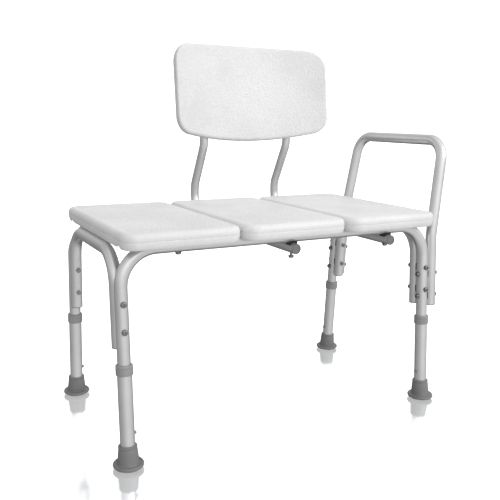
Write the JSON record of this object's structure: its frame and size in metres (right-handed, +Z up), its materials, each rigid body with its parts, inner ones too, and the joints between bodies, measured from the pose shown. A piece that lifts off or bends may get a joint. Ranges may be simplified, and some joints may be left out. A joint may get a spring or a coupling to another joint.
{
  "type": "bath transfer bench",
  "caption": "Bath transfer bench with panelled white plastic seat, curved backrest and side handrail on a splayed tubular aluminium frame with height-adjustable rubber-footed legs.",
  "frame": {"origin": "bottom centre of the bounding box, on the floor", "axes": "+X along the bench towards the handrail, +Y towards the backrest, +Z up; the sitter faces -Y"},
  "size_m": [0.8349, 0.5694, 0.8449],
  "materials": {
    "anodised_tube": "satin anodised",
    "leg_tube": "satin anodised",
    "white_panel": "fine pebbled, smooth at the edges",
    "grey_rubber": "matt",
    "grey_plastic": "matt",
    "black_plastic": "matt",
    "zinc_steel": "bright zinc plated",
    "spring_steel": "plain",
    "brass_insert": "plain"
  },
  "bodies": {
    "frame": {"front_frame": "anodised_tube", "back_frame": "anodised_tube", "left_side_frame": "anodised_tube", "right_side_frame": "anodised_tube", "side_frame_screws": "zinc_steel", "side_frame_washers": "zinc_steel", "side_frame_nuts": "zinc_steel", "side_frame_spacers": "black_plastic", "side_frame_plugs": "grey_plastic", "handrail": "anodised_tube", "handrail_screws": "zinc_steel", "handrail_washers": "zinc_steel", "handrail_nuts": "zinc_steel", "handrail_spacers": "black_plastic", "handrail_plugs": "grey_plastic", "seat_panel_left": "white_panel", "seat_panel_middle": "white_panel", "seat_panel_right": "white_panel", "seat_inserts": "brass_insert", "seat_screws": "zinc_steel", "seat_washers": "zinc_steel", "tube_saddles": "black_plastic", "backrest_tube_left": "anodised_tube", "backrest_tube_right": "anodised_tube", "backrest_tube_plugs": "grey_plastic", "backrest_panel": "white_panel", "backrest_screws": "zinc_steel", "backrest_inserts": "brass_insert", "button_spring_front_left": "spring_steel", "button_spring_front_right": "spring_steel", "button_spring_back_left": "spring_steel", "button_spring_back_right": "spring_steel"},
    "leg_front_left": {"leg_tube_front_left": "leg_tube", "leg_collar_front_left": "grey_plastic", "rubber_foot_front_left": "grey_rubber", "foot_washer_front_left": "zinc_steel"},
    "button_front_left": {"snap_button_front_left": "zinc_steel"},
    "leg_front_right": {"leg_tube_front_right": "leg_tube", "leg_collar_front_right": "grey_plastic", "rubber_foot_front_right": "grey_rubber", "foot_washer_front_right": "zinc_steel"},
    "button_front_right": {"snap_button_front_right": "zinc_steel"},
    "leg_back_left": {"leg_tube_back_left": "leg_tube", "leg_collar_back_left": "grey_plastic", "rubber_foot_back_left": "grey_rubber", "foot_washer_back_left": "zinc_steel"},
    "button_back_left": {"snap_button_back_left": "zinc_steel"},
    "leg_back_right": {"leg_tube_back_right": "leg_tube", "leg_collar_back_right": "grey_plastic", "rubber_foot_back_right": "grey_rubber", "foot_washer_back_right": "zinc_steel"},
    "button_back_right": {"snap_button_back_right": "zinc_steel"}
  },
  "joints": [
    {"name": "leg_front_left_slide", "type": "slide", "parent": "frame", "child": "leg_front_left", "axis": [0, -0.0644, -0.9979], "range_m": [0, 0.1016], "deforming": ["button_spring_front_left", "snap_button_front_left"]},
    {"name": "button_front_left_press", "type": "slide", "parent": "frame", "child": "button_front_left", "axis": [-1, 0, 0], "range_m": [0, 0.0056], "stiffness_N_per_m": 800, "springref_m": -0.003, "deforming": ["button_spring_front_left"]},
    {"name": "leg_front_right_slide", "type": "slide", "parent": "frame", "child": "leg_front_right", "axis": [0, -0.0644, -0.9979], "range_m": [0, 0.1016], "deforming": ["button_spring_front_right", "snap_button_front_right"]},
    {"name": "button_front_right_press", "type": "slide", "parent": "frame", "child": "button_front_right", "axis": [1, 0, 0], "range_m": [0, 0.0056], "stiffness_N_per_m": 800, "springref_m": -0.003, "deforming": ["button_spring_front_right"]},
    {"name": "leg_back_left_slide", "type": "slide", "parent": "frame", "child": "leg_back_left", "axis": [0, 0.0644, -0.9979], "range_m": [0, 0.1016], "deforming": ["button_spring_back_left", "snap_button_back_left"]},
    {"name": "button_back_left_press", "type": "slide", "parent": "frame", "child": "button_back_left", "axis": [-1, 0, 0], "range_m": [0, 0.0056], "stiffness_N_per_m": 800, "springref_m": -0.003, "deforming": ["button_spring_back_left"]},
    {"name": "leg_back_right_slide", "type": "slide", "parent": "frame", "child": "leg_back_right", "axis": [0, 0.0644, -0.9979], "range_m": [0, 0.1016], "deforming": ["button_spring_back_right", "snap_button_back_right"]},
    {"name": "button_back_right_press", "type": "slide", "parent": "frame", "child": "button_back_right", "axis": [1, 0, 0], "range_m": [0, 0.0056], "stiffness_N_per_m": 800, "springref_m": -0.003, "deforming": ["button_spring_back_right"]}
  ]
}
